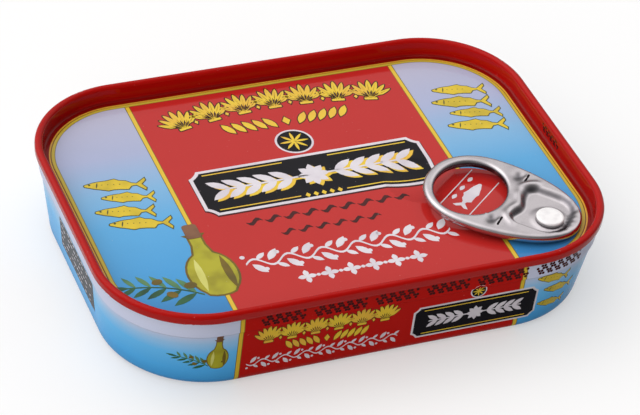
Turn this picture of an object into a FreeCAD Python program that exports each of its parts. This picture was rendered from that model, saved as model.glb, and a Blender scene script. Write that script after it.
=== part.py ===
"""A flat rectangular fish tin, shut, with a double-seamed easy-open lid and a ring-pull.

Millimetres, +Z up, +X along the long side towards the ring-pull's corner, -Y the long front side.
The origin is the middle of the base, on the surface that the tin stands on.
"""
import FreeCAD
import Part
import math
import os

Vector = FreeCAD.Vector

# Driving dimensions: the whole tin
LENGTH = 105.0            # over the seam, along X
WIDTH = 77.0              # over the seam, along Y
HEIGHT = 19.8             # base to the top of the seam
SEAM_CORNER = 20.5        # corner radius over the seam

# Double seam and lid
SEAM_THICK = 1.6          # across the seam
SEAM_HEIGHT = 2.1         # top of the seam to its lower edge
SEAM_LOWER_ROUND = 0.45   # round on the seam's lower outer edge
SHEET = 0.35              # metal thickness of lid and body at the seam
PANEL_DEPTH = 3.8         # top of the seam down to the lid's panel
FOOT_ROUND = 0.6          # round where the rim's inner wall meets the panel
SCORE_INSET = 3.3         # tear line, in from the seam's outer face
SCORE_WIDTH = 0.3
SCORE_DEPTH = 0.12
WELL_ALONG = 27.8         # rivet to the middle of the finger well, along the ring-pull
WELL_ACROSS = -1.3        # and across it
WELL_RADIUS = 7.5
WELL_DEPTH = 0.9

# Body
NECK_HEIGHT = 3.6         # straight band under the seam
SHOULDER_HEIGHT = 0.5     # soft step under that band
SHOULDER_STEP = 0.4       # how far the wall steps in under the band
WALL_DRAFT = 1.35         # how far the wall leans in from shoulder to base
BASE_CORNER = 20.9        # corner radius of the wall at the base
BASE_ROUND = 2.3          # round along the base edge

# Ring-pull
RIVET_FROM_END = 13.0     # rivet to the seam's outer face at the end by the ring-pull
RIVET_FROM_FRONT = 13.3   # rivet to the seam's outer face along the front
TAB_ANGLE = 135.8         # direction from the rivet to the ring, from +X
TAB_TILT = 2.5            # the ring's end stands a little off the panel
TAB_THICK = 1.9
TAB_HALF_WIDTH = 11.4
TAB_WAIST = 14.3          # rivet to the widest place
TAB_FAR = 12.2            # widest place to the ring's far end
TAB_NEAR = 20.4           # widest place to the nose
TAB_FULLNESS = 0.94       # below 1 fills out the egg between its four ends
TAB_STATIONS = 20         # points on the egg-shaped outline
TAB_SHIFT = -0.7          # the egg's axis lies this far beside the rivet
TAB_EDGE_FLAT = 0.22      # upright flat left between the rounds of the rolled edges
NOSE_GAP = 0.06           # nose above the panel
HOLE_CENTRE = 17.1        # rivet to the middle of the finger hole
HOLE_HALF_LONG = 7.2      # half the hole along the tab
HOLE_HALF_WIDE = 8.6      # half the hole across the tab
HOLE_SHIFT = -0.35         # the hole's middle lies this far beside the rivet
POCKET_RADIUS = 6.1       # round end of the pocket pressed about the rivet
POCKET_NOSE = 4.4         # from the rivet to the pocket's end by the nose
POCKET_REACH = 7.4        # from the rivet to the pocket's side towards the ring
POCKET_CORNER = 2.6
POCKET_WAVE = 0.8         # how far that side bows back towards the rivet
POCKET_DEPTH = 0.8
POCKET_EDGE = 0.45        # round along the pocket's rim
POCKET_FOOT = 0.25        # round along the pocket's floor
SLOT_AT = (8.5, 8.1)      # along and across the tab, one each side
SLOT_LENGTH = 2.8
SLOT_WIDTH = 0.45
SCOOP_RADIUS = 1.6        # hollow pressed behind each slot
SCOOP_DEPTH = 0.5
SCOOP_LENGTH = 2.2

# Rivet
RIVET_HEAD_RADIUS = 2.5
RIVET_HEAD_THICK = 0.95
RIVET_HEAD_ROUND = 0.4
RIVET_SHANK_RADIUS = 1.6
RIVET_PLAY = 0.1          # between the shank and the tab's hole

# Heights that follow
PANEL_Z = HEIGHT - PANEL_DEPTH
SEAM_Z = HEIGHT - SEAM_HEIGHT
SHOULDER_Z = SEAM_Z - NECK_HEIGHT
NECK_INSET = SEAM_THICK - 2 * SHEET
WALL_TOP_INSET = NECK_INSET + SHOULDER_STEP
WALL_BASE_INSET = WALL_TOP_INSET + WALL_DRAFT
RIVET_AT = (LENGTH / 2 - RIVET_FROM_END, -WIDTH / 2 + RIVET_FROM_FRONT)
TAB_ROUND = (TAB_THICK - TAB_EDGE_FLAT) / 2
TAB_TURN = math.radians(TAB_ANGLE)
WELL_CENTRE = (RIVET_AT[0] + WELL_ALONG * math.cos(TAB_TURN) - WELL_ACROSS * math.sin(TAB_TURN),
               RIVET_AT[1] + WELL_ALONG * math.sin(TAB_TURN) + WELL_ACROSS * math.cos(TAB_TURN))
TAB_MID_Z = (PANEL_Z + NOSE_GAP + TAB_THICK / 2
             + (TAB_NEAR - TAB_WAIST) * math.sin(math.radians(TAB_TILT)))


def rounded_loop(inset, z, corner=None):
    """Closed rounded rectangle, in by inset from the seam's outer face."""
    half_x = LENGTH / 2 - inset
    half_y = WIDTH / 2 - inset
    radius = SEAM_CORNER - inset if corner is None else corner
    cx = half_x - radius
    cy = half_y - radius
    k = radius * math.sqrt(0.5)
    edges = []
    corners = [(1, 1), (-1, 1), (-1, -1), (1, -1)]
    starts = [(half_x, cy), (-cx, half_y), (-half_x, -cy), (cx, -half_y)]
    ends = [(cx, half_y), (-half_x, cy), (-cx, -half_y), (half_x, -cy)]
    for (sx, sy), start, end in zip(corners, starts, ends):
        middle = (sx * (cx + k), sy * (cy + k))
        points = [Vector(p[0], p[1], z) for p in (start, middle, end)]
        edges.append(Part.Arc(*points).toShape())
    for i in range(4):
        a = ends[i]
        b = starts[(i + 1) % 4]
        edges.append(Part.makeLine(Vector(a[0], a[1], z), Vector(b[0], b[1], z)))
    return Part.Wire(Part.__sortEdges__(edges))


def rounded_block(inset, z_low, z_high, corner=None):
    face = Part.Face(rounded_loop(inset, z_low, corner))
    return face.extrude(Vector(0, 0, z_high - z_low))


def flat_edges(shape, z, test=None):
    """Edges that lie wholly at height z and pass the test on their middle point."""
    found = []
    for edge in shape.Edges:
        box = edge.BoundBox
        if abs(box.ZMin - z) > 1e-4 or abs(box.ZMax - z) > 1e-4:
            continue
        middle = edge.valueAt((edge.FirstParameter + edge.LastParameter) / 2)
        if test is None or test(middle):
            found.append(edge)
    return found


def inside_loop(inset):
    """Test for points further in than the rounded loop at this inset."""
    face = Part.Face(rounded_loop(inset, 0))
    return lambda p: face.isInside(Vector(p.x, p.y, 0), 1e-6, True)


def well_ball(grow):
    """Ball whose cap presses the finger well; grow gives the underside of the sheet."""
    radius = (WELL_RADIUS ** 2 + WELL_DEPTH ** 2) / (2 * WELL_DEPTH)
    centre = Vector(WELL_CENTRE[0], WELL_CENTRE[1], PANEL_Z - WELL_DEPTH + radius)
    return Part.makeSphere(radius + grow, centre)


def plug():
    """Outside of the countersunk part of the lid, as the body holds it."""
    flat = rounded_block(SEAM_THICK - SHEET, PANEL_Z - SHEET, SEAM_Z)
    column = Part.makeCylinder(WELL_RADIUS + 3.0, PANEL_DEPTH + 2.0,
                               Vector(WELL_CENTRE[0], WELL_CENTRE[1], PANEL_Z - 2.0))
    return flat.fuse(well_ball(SHEET).common(column).common(
        rounded_block(SEAM_THICK - SHEET, PANEL_Z - 3.0, SEAM_Z)))


def can_body():
    base = rounded_loop(WALL_BASE_INSET, 0, BASE_CORNER)
    top = rounded_loop(WALL_TOP_INSET, SHOULDER_Z - SHOULDER_HEIGHT)
    wall = Part.makeLoft([base, top], True, True)
    wall = wall.makeFillet(BASE_ROUND, flat_edges(wall, 0))
    neck_low = rounded_loop(NECK_INSET, SHOULDER_Z)
    shoulder = Part.makeLoft([rounded_loop(WALL_TOP_INSET, SHOULDER_Z - SHOULDER_HEIGHT),
                              neck_low], True, True)
    neck = rounded_block(NECK_INSET, SHOULDER_Z, SEAM_Z)
    body = wall.fuse(shoulder).fuse(neck)
    return body.cut(plug()).removeSplitter()


def lid():
    rim = rounded_block(0, SEAM_Z, HEIGHT)
    rim = rim.makeFillet(SEAM_LOWER_ROUND, flat_edges(rim, SEAM_Z))
    shell = rim.fuse(plug())
    shell = shell.cut(rounded_block(SEAM_THICK, PANEL_Z, HEIGHT + 1.0)).removeSplitter()
    top_round = SEAM_THICK / 2 - 0.02
    shell = shell.makeFillet(top_round, flat_edges(shell, HEIGHT))
    near_wall = inside_loop(SEAM_THICK + 0.5)
    foot = flat_edges(shell, PANEL_Z, lambda p: not near_wall(p))
    shell = shell.makeFillet(FOOT_ROUND, foot)
    groove = rounded_block(SCORE_INSET - SCORE_WIDTH / 2, PANEL_Z - SCORE_DEPTH, PANEL_Z + 0.2)
    groove = groove.cut(rounded_block(SCORE_INSET + SCORE_WIDTH / 2,
                                      PANEL_Z - 2 * SCORE_DEPTH, PANEL_Z + 0.3))
    return shell.cut(groove).cut(well_ball(0))


def tab_outline(z):
    """Egg shape as one smooth closed curve: two half ellipses meet at the widest place."""
    points = []
    for i in range(TAB_STATIONS):
        turn = 2 * math.pi * i / TAB_STATIONS
        reach = TAB_FAR if math.cos(turn) > 0 else TAB_NEAR
        along = math.copysign(abs(math.cos(turn)) ** TAB_FULLNESS, math.cos(turn))
        across = math.copysign(abs(math.sin(turn)) ** TAB_FULLNESS, math.sin(turn))
        points.append(Vector(TAB_WAIST + reach * along,
                             TAB_SHIFT + TAB_HALF_WIDTH * across, z))
    curve = Part.BSplineCurve()
    curve.interpolate(points, PeriodicFlag=True)
    return Part.Wire([curve.toShape()])


def finger_hole(z):
    ellipse = Part.Ellipse(Vector(HOLE_CENTRE, HOLE_SHIFT + HOLE_HALF_WIDE, z),
                           Vector(HOLE_CENTRE + HOLE_HALF_LONG, HOLE_SHIFT, z),
                           Vector(HOLE_CENTRE, HOLE_SHIFT, z))
    return Part.Wire([ellipse.toShape()])


def pocket_face(z):
    """Pocket about the rivet: round at the nose, with a wavy side towards the finger hole."""
    wide = POCKET_RADIUS
    back = POCKET_RADIUS - POCKET_NOSE
    turn = POCKET_REACH - POCKET_CORNER

    def at(x, y):
        return Vector(x, TAB_SHIFT + y, z)

    k = POCKET_CORNER * (1 - math.sqrt(0.5))
    nose = Part.Arc(at(back, wide), at(-POCKET_NOSE, 0), at(back, -wide)).toShape()
    edges = [nose]
    for side in (1, -1):
        edges.append(Part.makeLine(at(back, side * wide), at(turn, side * wide)))
        edges.append(Part.Arc(at(turn, side * wide), at(POCKET_REACH - k, side * (wide - k)),
                              at(POCKET_REACH, side * (wide - POCKET_CORNER))).toShape())
    half = wide - POCKET_CORNER
    wave = Part.BSplineCurve()
    wave.interpolate([at(POCKET_REACH, half), at(POCKET_REACH - POCKET_WAVE, 0),
                      at(POCKET_REACH, -half)], InitialTangent=Vector(0, -1, 0),
                     FinalTangent=Vector(0, -1, 0))
    edges.append(wave.toShape())
    return Part.Face(Part.Wire(Part.__sortEdges__(edges)))


def to_world(shape):
    """Lay the tab from its own frame (rivet at the origin) on to the lid."""
    placed = shape.copy()
    placed.rotate(Vector(0, 0, 0), Vector(0, 1, 0), -TAB_TILT)
    placed.rotate(Vector(0, 0, 0), Vector(0, 0, 1), TAB_ANGLE)
    placed.translate(Vector(RIVET_AT[0], RIVET_AT[1], TAB_MID_Z))
    return placed


def scoop(side):
    """Hollow that runs down into one slot, and the slot itself."""
    top = TAB_THICK / 2
    along = SLOT_AT[0]
    across = TAB_SHIFT + side * SLOT_AT[1]
    ball = (SCOOP_RADIUS ** 2 + SCOOP_DEPTH ** 2) / (2 * SCOOP_DEPTH)
    hollow = Part.makeSphere(ball, Vector(along + SCOOP_LENGTH / 2, across,
                                          top - SCOOP_DEPTH + ball))
    slot = Part.makeBox(SLOT_WIDTH, SLOT_LENGTH, 0.9,
                        Vector(along - SLOT_WIDTH, across - SLOT_LENGTH / 2, top - 0.7))
    return hollow.fuse(slot)


def pull_tab():
    top = TAB_THICK / 2
    face = Part.Face([tab_outline(-top), finger_hole(-top)])
    plate = face.extrude(Vector(0, 0, TAB_THICK))
    rolled = [e for e in plate.Edges if e.BoundBox.ZLength < 1e-4]
    plate = plate.makeFillet(TAB_ROUND, rolled)
    floor = top - POCKET_DEPTH
    plate = plate.cut(pocket_face(floor).extrude(Vector(0, 0, 3.0)))

    def by_rivet(p):
        return (-POCKET_NOSE - 0.1 < p.x < POCKET_REACH + 0.1
                and abs(p.y - TAB_SHIFT) < POCKET_RADIUS + 0.1)

    plate = plate.makeFillet(POCKET_EDGE, flat_edges(plate, top, by_rivet))
    plate = plate.makeFillet(POCKET_FOOT, flat_edges(plate, floor, by_rivet))
    for side in (1, -1):
        plate = plate.cut(scoop(side))
    bore = Part.makeCylinder(RIVET_SHANK_RADIUS + RIVET_PLAY, 6.0, Vector(0, 0, -3.0))
    return to_world(plate.cut(bore))


def rivet():
    floor = TAB_THICK / 2 - POCKET_DEPTH
    head = Part.makeCylinder(RIVET_HEAD_RADIUS, RIVET_HEAD_THICK, Vector(0, 0, floor))
    head = head.makeFillet(RIVET_HEAD_ROUND, flat_edges(head, floor + RIVET_HEAD_THICK))
    shank = Part.makeCylinder(RIVET_SHANK_RADIUS, 4.0, Vector(0, 0, floor - 4.0))
    whole = to_world(head.fuse(shank).removeSplitter())
    under = Part.makeBox(20.0, 20.0, 10.0, Vector(RIVET_AT[0] - 10.0, RIVET_AT[1] - 10.0,
                                                  PANEL_Z - 10.0))
    return whole.cut(under)


def main():
    os.makedirs("parts", exist_ok=True)
    nodes = {"can_body": can_body(), "lid": lid(), "pull_tab": pull_tab(), "rivet": rivet()}
    for name, shape in nodes.items():
        solid = shape.Solids[0] if len(shape.Solids) == 1 else shape
        solid.exportStep(os.path.join("parts", name + ".step"))
        print(name, "solids", len(shape.Solids), "valid", shape.isValid(),
              "volume", round(shape.Volume, 1))


main()
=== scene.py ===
"""A shut flat fish tin: printed lid and wall, an easy-open ring-pull and its rivet.

The body and the lid are the frame's own solids with new finishes. Finer pieces stand for
the ring-pull and the rivet, and the ornaments are thin layers of ink on the lid and the wall.
"""

import bpy
import math
import random
from itertools import cycle
from mathutils import Matrix, Quaternion, Vector


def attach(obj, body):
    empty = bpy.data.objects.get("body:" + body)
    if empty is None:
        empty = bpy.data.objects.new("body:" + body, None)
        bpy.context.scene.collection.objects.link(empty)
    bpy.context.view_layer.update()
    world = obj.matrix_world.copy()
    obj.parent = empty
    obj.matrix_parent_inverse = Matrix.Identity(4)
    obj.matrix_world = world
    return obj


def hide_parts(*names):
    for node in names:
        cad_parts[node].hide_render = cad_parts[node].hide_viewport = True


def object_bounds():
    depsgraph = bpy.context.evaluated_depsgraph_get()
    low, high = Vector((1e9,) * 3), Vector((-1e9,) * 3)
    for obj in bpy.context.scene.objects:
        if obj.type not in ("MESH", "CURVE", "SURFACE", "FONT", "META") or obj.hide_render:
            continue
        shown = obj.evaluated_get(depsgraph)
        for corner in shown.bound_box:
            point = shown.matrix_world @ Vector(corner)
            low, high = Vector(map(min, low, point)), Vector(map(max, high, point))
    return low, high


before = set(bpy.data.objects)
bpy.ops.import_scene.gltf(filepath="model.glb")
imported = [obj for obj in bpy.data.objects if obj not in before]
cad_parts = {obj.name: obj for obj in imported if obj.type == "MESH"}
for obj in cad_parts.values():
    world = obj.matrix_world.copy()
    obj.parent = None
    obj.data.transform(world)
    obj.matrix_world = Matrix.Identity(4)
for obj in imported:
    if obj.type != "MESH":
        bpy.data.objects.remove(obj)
cad_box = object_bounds()

MM = 0.001
HALF_LENGTH = cad_box[1][0]
HALF_WIDTH = cad_box[1][1]
SEAM_CORNER = 20.5 * MM
PANEL_Z = 16.0 * MM
RED_MIDDLE = 0.115 * MM       # the red field's middle lies this far along X
RED_HALF = 29.035 * MM        # red field's middle to the middle of each gold line
RING_DISC = (28.8 * MM, -12.6 * MM, PANEL_Z)
RING_DISC_RADIUS = 9.35 * MM  # the red disc printed under the ring

# Lines round the lid, by how far they lie inside the seam's outline.
INNER_WALL_FOOT = 2.95 * MM
SCORE_LINE = (3.24 * MM, 3.42 * MM)
BORDER_TURN = 3.4 * MM        # from orange gold to old gold
BORDER_GOLD = 4.05 * MM
BORDER_SHADE = 4.18 * MM

# The wall's red field and its gold lines, by how far they lie from the middle.
WALL_RED_HALF = 28.9 * MM
WALL_LINE = (28.62 * MM, 29.36 * MM)
WALL_LINE_SHADE = (28.5 * MM, 29.5 * MM)

INK_LAYER = 0.02 * MM
LIFT_STEP = 0.0022 * MM       # between parts of one layer that overlap
ABOVE_LID = 30.0 * MM         # where flat ink waits before it is pressed on
CLEAR_OF_WALL = 90.0 * MM
WELL_LOW = (12.5, -13.0)      # corners of the square round the finger well
WELL_HIGH = (28.5, 3.0)
FRONT = 0.0                   # turns that face an ornament outwards on each side
RIGHT = math.pi / 2
BACK = math.pi
LEFT = -math.pi / 2


# ---------------------------------------------------------------- shader helpers

def paint(red, green, blue):
    """A colour given from 0 to 255 a channel, in the shader's own scale."""
    levels = []
    for level in (red, green, blue):
        share = level / 255
        if share <= 0.04045:
            levels.append(share / 12.92)
        else:
            levels.append(((share + 0.055) / 1.055) ** 2.4)
    return (levels[0], levels[1], levels[2], 1.0)


def feed(tree, socket, value):
    """Link a socket to another one, or set its plain value."""
    if isinstance(value, bpy.types.NodeSocket):
        tree.links.new(value, socket)
    else:
        socket.default_value = value


def maths(tree, operation, first, second=0.0, third=0.0):
    node = tree.nodes.new("ShaderNodeMath")
    node.operation = operation
    feed(tree, node.inputs[0], first)
    feed(tree, node.inputs[1], second)
    feed(tree, node.inputs[2], third)
    return node.outputs[0]


def ramp_up(tree, value, low, high, from_value=0.0, to_value=1.0):
    """Soft change from one value to another as value goes from low to high."""
    node = tree.nodes.new("ShaderNodeMapRange")
    node.interpolation_type = "SMOOTHSTEP"
    feed(tree, node.inputs["Value"], value)
    node.inputs["From Min"].default_value = low
    node.inputs["From Max"].default_value = high
    node.inputs["To Min"].default_value = from_value
    node.inputs["To Max"].default_value = to_value
    return node.outputs["Result"]


def ramp_line(tree, value, low, high):
    """Plain straight change from 0 to 1 between two places."""
    node = tree.nodes.new("ShaderNodeMapRange")
    feed(tree, node.inputs["Value"], value)
    node.inputs["From Min"].default_value = low
    node.inputs["From Max"].default_value = high
    return node.outputs["Result"]


def past(tree, value, edge, softness=0.06 * MM):
    """Mask of 1 where value is beyond the edge."""
    return ramp_up(tree, value, edge - softness, edge + softness)


def within(tree, value, low, high, softness=0.06 * MM):
    """Mask of 1 where value lies between two edges."""
    inside = past(tree, value, low, softness)
    beyond = past(tree, value, high, softness)
    return maths(tree, "SUBTRACT", inside, beyond)


def over(tree, mask, under, top):
    """Lay the top colour over the under colour where the mask is 1."""
    node = tree.nodes.new("ShaderNodeMix")
    node.data_type = "RGBA"
    feed(tree, node.inputs["Factor"], mask)
    feed(tree, node.inputs["A"], under)
    feed(tree, node.inputs["B"], top)
    return node.outputs["Result"]


def colour_steps(tree, value, steps):
    """Colour ramp with (place, colour) steps."""
    node = tree.nodes.new("ShaderNodeValToRGB")
    feed(tree, node.inputs["Fac"], value)
    ramp = node.color_ramp
    ramp.elements[0].position = steps[0][0]
    ramp.elements[0].color = steps[0][1]
    ramp.elements[1].position = steps[-1][0]
    ramp.elements[1].color = steps[-1][1]
    for place, colour in steps[1:-1]:
        element = ramp.elements.new(place)
        element.color = colour
    return node.outputs["Color"]


def object_place(tree):
    return tree.nodes.new("ShaderNodeTexCoord").outputs["Object"]


def axes(tree, place):
    """A place's X, Y and Z, by name."""
    split = tree.nodes.new("ShaderNodeSeparateXYZ")
    feed(tree, split.inputs[0], place)
    return split.outputs


def noise(tree, place, scale, detail=3.0, stretch=(1.0, 1.0, 1.0), rough=0.5):
    mapping = tree.nodes.new("ShaderNodeMapping")
    mapping.inputs["Scale"].default_value = stretch
    feed(tree, mapping.inputs["Vector"], place)
    node = tree.nodes.new("ShaderNodeTexNoise")
    node.inputs["Scale"].default_value = scale
    node.inputs["Detail"].default_value = detail
    node.inputs["Roughness"].default_value = rough
    tree.links.new(mapping.outputs["Vector"], node.inputs["Vector"])
    return node.outputs["Fac"]


def add_relief(tree, shader, height, strength, distance):
    """Fine relief from a height, on the shader's normal."""
    relief = tree.nodes.new("ShaderNodeBump")
    relief.inputs["Strength"].default_value = strength
    relief.inputs["Distance"].default_value = distance
    feed(tree, relief.inputs["Height"], height)
    tree.links.new(relief.outputs["Normal"], shader.inputs["Normal"])


def new_finish(name):
    """An empty material and its Principled shader."""
    finish = bpy.data.materials.new(name)
    finish.use_nodes = True
    return finish, finish.node_tree, finish.node_tree.nodes["Principled BSDF"]


def new_group(name, inputs, outputs):
    """A shader group with named inputs and outputs, and its two end nodes."""
    group = bpy.data.node_groups.new(name, "ShaderNodeTree")
    for label, kind, value in inputs:
        socket = group.interface.new_socket(label, in_out="INPUT", socket_type=kind)
        if value is not None:
            socket.default_value = value
    for label, kind in outputs:
        group.interface.new_socket(label, in_out="OUTPUT", socket_type=kind)
    start = group.nodes.new("NodeGroupInput")
    end = group.nodes.new("NodeGroupOutput")
    return group, start, end


def use_group(tree, group, **values):
    """Place a group in a material with its own values; _ in a name stands for a space."""
    node = tree.nodes.new("ShaderNodeGroup")
    node.node_tree = group
    for name, value in values.items():
        feed(tree, node.inputs[name.replace("_", " ")], value)
    return node


# ---------------------------------------------------------------- shared effects

def rounded_frame_group():
    """How far a place lies inside the rounded outline of the seam."""
    group, start, end = new_group(
        "Rounded frame",
        [("Place", "NodeSocketVector", None),
         ("Half length", "NodeSocketFloat", HALF_LENGTH),
         ("Half width", "NodeSocketFloat", HALF_WIDTH),
         ("Corner", "NodeSocketFloat", SEAM_CORNER)],
        [("Inset", "NodeSocketFloat")])
    place = axes(group, start.outputs["Place"])
    beyond = []
    for axis, half in (("X", "Half length"), ("Y", "Half width")):
        core = maths(group, "SUBTRACT", start.outputs[half], start.outputs["Corner"])
        far = maths(group, "ABSOLUTE", place[axis])
        beyond.append(maths(group, "SUBTRACT", far, core))
    out = [maths(group, "MAXIMUM", value, 0.0) for value in beyond]
    squares = [maths(group, "MULTIPLY", value, value) for value in out]
    reach = maths(group, "SQRT", maths(group, "ADD", squares[0], squares[1]))
    deep = maths(group, "MINIMUM", maths(group, "MAXIMUM", beyond[0], beyond[1]), 0.0)
    outside = maths(group, "ADD", reach, deep)
    inset = maths(group, "SUBTRACT", start.outputs["Corner"], outside)
    group.links.new(inset, end.inputs["Inset"])
    return group


def lacquer_group():
    """Baked lacquer on sheet metal: slow ripple, fine peel, hairline rubs and dust."""
    group, start, end = new_group(
        "Baked lacquer",
        [("Place", "NodeSocketVector", None),
         ("Gloss", "NodeSocketFloat", 0.12),
         ("Unevenness", "NodeSocketFloat", 0.05),
         ("Rubs", "NodeSocketFloat", 0.5)],
        [("Height", "NodeSocketFloat"), ("Roughness", "NodeSocketFloat"),
         ("Dust", "NodeSocketFloat")])
    place = start.outputs["Place"]
    swell = noise(group, place, 45.0, 1.0)
    peel = noise(group, place, 900.0, 2.0)
    grime_and_painted_shade = noise(group, place, 160.0, 4.0)
    rubs = noise(group, place, 420.0, 2.0, (1.0, 14.0, 1.0))
    rub_mask = ramp_up(group, rubs, 0.66, 0.74)
    specks = ramp_up(group, noise(group, place, 1900.0, 1.0), 0.76, 0.82)
    height = maths(group, "MULTIPLY_ADD", swell, 2.2, maths(group, "MULTIPLY", peel, 0.12))
    height = maths(group, "MULTIPLY_ADD", specks, 0.1, height)
    rough = maths(group, "MULTIPLY_ADD", grime_and_painted_shade, start.outputs["Unevenness"],
                  start.outputs["Gloss"])
    rubbed = maths(group, "MULTIPLY", rub_mask, start.outputs["Rubs"])
    rough = maths(group, "MULTIPLY_ADD", rubbed, 0.16, rough)
    group.links.new(height, end.inputs["Height"])
    group.links.new(rough, end.inputs["Roughness"])
    group.links.new(specks, end.inputs["Dust"])
    return group


def ink_group():
    """Litho ink over metal: slight mottling and a fine printer's screen."""
    group, start, end = new_group(
        "Litho ink",
        [("Place", "NodeSocketVector", None),
         ("Colour", "NodeSocketColor", None),
         ("Mottle", "NodeSocketFloat", 0.06)],
        [("Colour", "NodeSocketColor")])
    place = start.outputs["Place"]
    cloud = noise(group, place, 120.0, 3.0)
    grain = noise(group, place, 2600.0, 1.0)
    mixed = maths(group, "MULTIPLY_ADD", grain, 0.5, cloud)
    shift = maths(group, "SUBTRACT", mixed, 0.75)
    shift = maths(group, "MULTIPLY", shift, start.outputs["Mottle"])
    level = maths(group, "ADD", shift, 1.0)
    node = group.nodes.new("ShaderNodeVectorMath")
    node.operation = "SCALE"
    group.links.new(start.outputs["Colour"], node.inputs[0])
    group.links.new(level, node.inputs["Scale"])
    group.links.new(node.outputs[0], end.inputs["Colour"])
    return group


FRAME_GROUP = rounded_frame_group()
LACQUER = lacquer_group()
INK = ink_group()

RED = paint(190, 40, 37)
RIM_RED = paint(172, 12, 7)
WALL_RED = paint(190, 22, 15)
# Painted shade on the lid's red lacquer where the inner wall meets the panel.
SHADED_LEDGE_RED = paint(134, 9, 6)
GOLD = paint(226, 190, 58)
OLD_GOLD = paint(200, 176, 60)
ORANGE_GOLD = paint(230, 176, 62)
OUTLINE = paint(62, 34, 20)
PLATE_INK = paint(8, 6, 13)
WHITE_INK = paint(226, 220, 226)


# ---------------------------------------------------------------- print fields

def finish_lacquer(tree, shader, place, colour, bump=0.05, gloss=0.06, dust=0.12):
    """Wire ink, lacquer relief, roughness and a little dust to the shader."""
    ink = use_group(tree, INK, Place=place, Colour=colour)
    skin = use_group(tree, LACQUER, Place=place, Gloss=gloss)
    specks = maths(tree, "MULTIPLY", skin.outputs["Dust"], dust)
    dusty = over(tree, specks, ink.outputs["Colour"], paint(214, 206, 204))
    feed(tree, shader.inputs["Base Color"], dusty)
    feed(tree, shader.inputs["Roughness"], skin.outputs["Roughness"])
    add_relief(tree, shader, skin.outputs["Height"], bump, 0.1 * MM)


def lid_finish():
    """Red lacquered rim, gold border, red middle field and blue end fields."""
    finish, tree, shader = new_finish("Printed lid")
    place = object_place(tree)
    at = axes(tree, place)
    inset = use_group(tree, FRAME_GROUP, Place=place).outputs["Inset"]
    sky = colour_steps(tree, ramp_line(tree, at["Y"], -36 * MM, 36 * MM), [
        (0.0, paint(52, 122, 184)),
        (0.2, paint(70, 155, 214)),
        (0.45, paint(92, 170, 222)),
        (0.6, paint(130, 180, 220)),
        (0.76, paint(170, 178, 210)),
        (1.0, paint(186, 182, 202))])
    across = maths(tree, "ABSOLUTE", maths(tree, "SUBTRACT", at["X"], RED_MIDDLE))
    field = over(tree, past(tree, across, RED_HALF), RED, sky)
    edge = within(tree, across, RED_HALF - 0.5 * MM, RED_HALF + 0.56 * MM)
    field = over(tree, edge, field, paint(96, 92, 40))
    line = within(tree, across, RED_HALF - 0.38 * MM, RED_HALF + 0.4 * MM)
    field = over(tree, line, field, GOLD)
    spot = tree.nodes.new("ShaderNodeVectorMath")
    spot.operation = "DISTANCE"
    tree.links.new(place, spot.inputs[0])
    spot.inputs[1].default_value = RING_DISC
    disc = within(tree, spot.outputs["Value"], -1.0, RING_DISC_RADIUS)
    field = over(tree, disc, field, RED)
    colour = over(tree, past(tree, inset, BORDER_SHADE), paint(110, 104, 50), field)
    gold = over(tree, past(tree, inset, BORDER_TURN), ORANGE_GOLD, OLD_GOLD)
    colour = over(tree, past(tree, inset, BORDER_GOLD), gold, colour)
    # Brown along the score line is painted shade in its groove.
    score = within(tree, inset, *SCORE_LINE)
    colour = over(tree, score, colour, paint(92, 56, 26))
    # Deeper red where the inner wall meets the panel: painted shade on the lid's red lacquer.
    panel = past(tree, inset, INNER_WALL_FOOT, 0.1 * MM)
    colour = over(tree, panel, SHADED_LEDGE_RED, colour)
    raised = past(tree, at["Z"], PANEL_Z + 0.35 * MM, 0.2 * MM)
    colour = over(tree, raised, colour, RIM_RED)
    finish_lacquer(tree, shader, place, colour)
    shine = maths(tree, "MULTIPLY_ADD", panel, 0.14, 0.13)
    feed(tree, shader.inputs["Specular IOR Level"], shine)
    return finish


def body_finish():
    """Red middle of the wall between gold lines, pale-to-blue ends."""
    finish, tree, shader = new_finish("Printed wall")
    place = object_place(tree)
    at = axes(tree, place)
    sky = colour_steps(tree, ramp_line(tree, at["Z"], 0.0, 18 * MM), [
        (0.0, paint(60, 144, 208)),
        (0.25, paint(84, 178, 240)),
        (0.5, paint(108, 194, 249)),
        (0.66, paint(160, 204, 242)),
        (0.78, paint(206, 212, 236)),
        (1.0, paint(212, 216, 236))])
    across = maths(tree, "ABSOLUTE", at["X"])
    field = over(tree, past(tree, across, WALL_RED_HALF), WALL_RED, sky)
    edge = within(tree, across, *WALL_LINE_SHADE)
    field = over(tree, edge, field, paint(92, 90, 44))
    line = within(tree, across, *WALL_LINE)
    colour = over(tree, line, field, GOLD)
    finish_lacquer(tree, shader, place, colour, 0.05, 0.2)
    shader.inputs["Specular IOR Level"].default_value = 0.03
    return finish


def painted_shade(tree):
    """How much painted shade a point gets, stored on the points of the ring-pull and the rivet:
    dark on pressed slopes, in the curl and low down.
    """
    store = tree.nodes.new("ShaderNodeAttribute")
    store.attribute_name = "painted_shade"
    return store.outputs["Fac"]


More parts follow.
